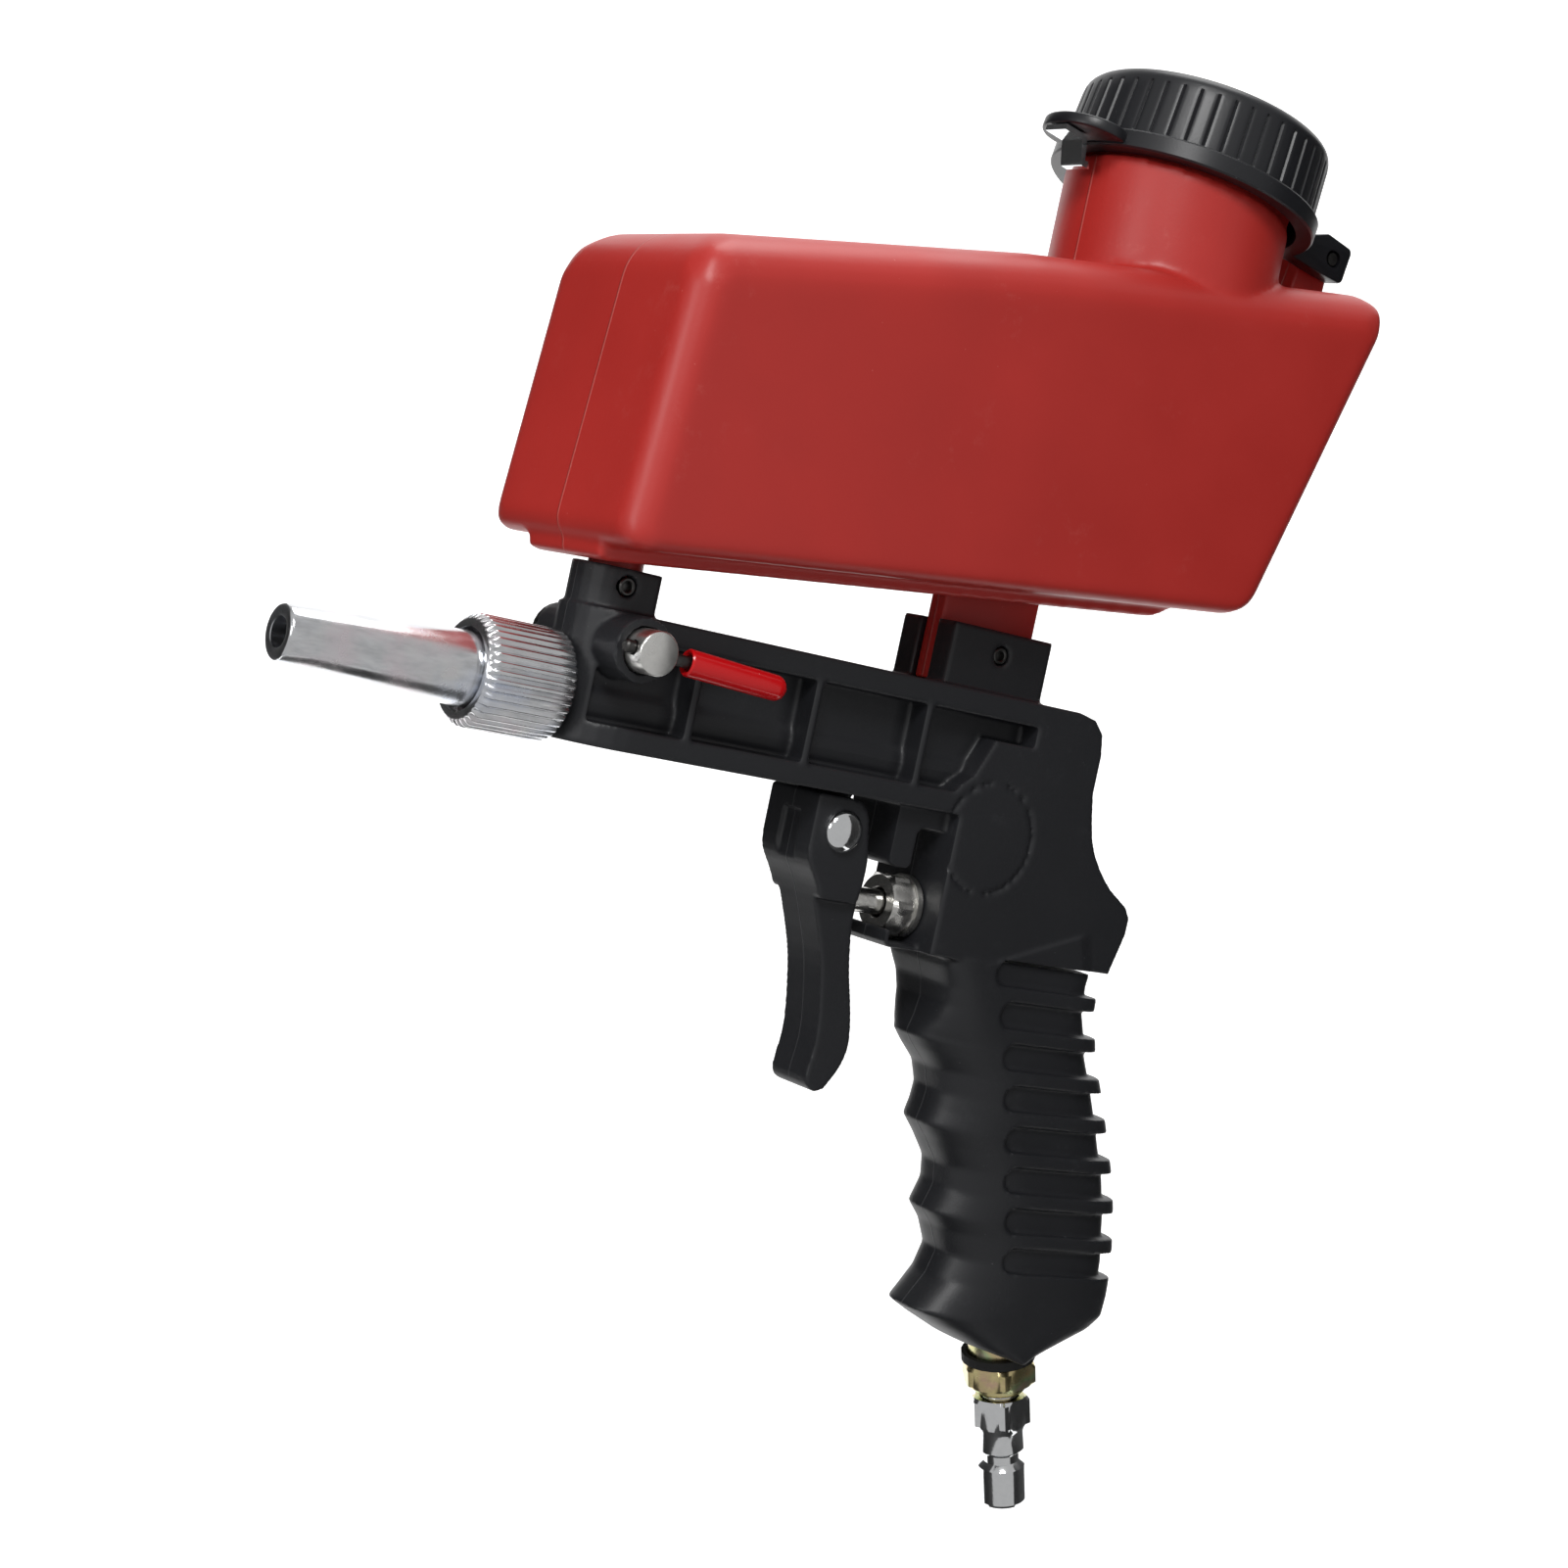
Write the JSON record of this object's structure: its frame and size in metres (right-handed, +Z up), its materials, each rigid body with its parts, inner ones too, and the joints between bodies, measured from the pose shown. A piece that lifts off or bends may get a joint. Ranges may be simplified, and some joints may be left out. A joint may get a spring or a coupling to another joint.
{
  "type": "sand blasting gun",
  "caption": "Hand-held gravity-feed sand-blasting gun with a red hopper, pistol grip, trigger, sand valve, conical nozzle and quick plug for compressed air.",
  "frame": {"origin": "on the barrel's axis, above the round disc on the side of the grip, where a hand holds the gun", "axes": "+X back along the barrel, away from the nozzle; +Y to the side away from the sand valve's lever; +Z up"},
  "size_m": [0.2607, 0.068, 0.3492],
  "materials": {
    "black_plastic": "moulded glass-filled nylon, slightly scuffed",
    "lid_plastic": "moulded polypropylene, satin",
    "red_plastic": "blow-moulded polyethylene, satin",
    "red_vinyl": "dipped vinyl, glossy",
    "nozzle_metal": "turned, satin",
    "steel": "nickel plated",
    "dark_steel": "blackened",
    "chrome": "polished",
    "yellow_zinc": "yellow zinc plate",
    "brass": "turned",
    "rubber": "moulded nitrile"
  },
  "bodies": {
    "gun": {"gun_body": "black_plastic", "nozzle": "nozzle_metal", "nozzle_nut": "nozzle_metal", "nozzle_washer": "rubber", "barrel_tube": "steel", "air_jet": "brass", "barrel_air_tube": "steel", "trigger_rivet": "chrome", "gland_nut": "steel", "stem_seal": "rubber", "valve_seat": "brass", "valve_spring": "steel", "grip_air_tube": "steel", "inlet_washer": "rubber", "inlet_adapter": "yellow_zinc", "air_plug": "chrome", "hopper": "red_plastic", "feed_gasket": "rubber", "front_leg_screw": "dark_steel", "rear_leg_screw": "dark_steel", "lid_hinge_pin": "dark_steel"},
    "sand_valve": {"valve_spindle": "steel", "spindle_seal_near": "rubber", "spindle_seal_far": "rubber", "spindle_washer": "dark_steel", "spindle_screw": "steel", "lever_rod": "dark_steel", "lever_sleeve": "red_vinyl"},
    "trigger": {"trigger": "black_plastic"},
    "stem": {"valve_stem": "steel", "valve_poppet": "brass"},
    "lid": {"lid_cap": "lid_plastic", "lid_gasket": "rubber", "latch_clip": "chrome"}
  },
  "joints": [
    {"name": "sand_valve_turn", "type": "hinge", "parent": "gun", "child": "sand_valve", "pos_m": [-0.1075, 0, 0.0114], "axis": [0, 1, 0], "range_deg": [0, 90]},
    {"name": "trigger_pull", "type": "hinge", "parent": "gun", "child": "trigger", "pos_m": [-0.0398, 0, -0.019], "axis": [0, -1, 0], "range_deg": [0, 14], "stiffness_Nm_per_rad": 0.4, "springref_deg": -14.32},
    {"name": "stem_slide", "type": "slide", "parent": "gun", "child": "stem", "axis": [1, 0, 0], "range_m": [0, 0.0041], "deforming": ["valve_spring"]},
    {"name": "lid_open", "type": "hinge", "parent": "gun", "child": "lid", "pos_m": [0.074, 0, 0.1417], "axis": [0, 1, 0], "range_deg": [0, 110]}
  ],
  "couplings": [
    {"joint": "stem_slide", "follows": "trigger_pull", "m_per_rad": 0.01637}
  ]
}
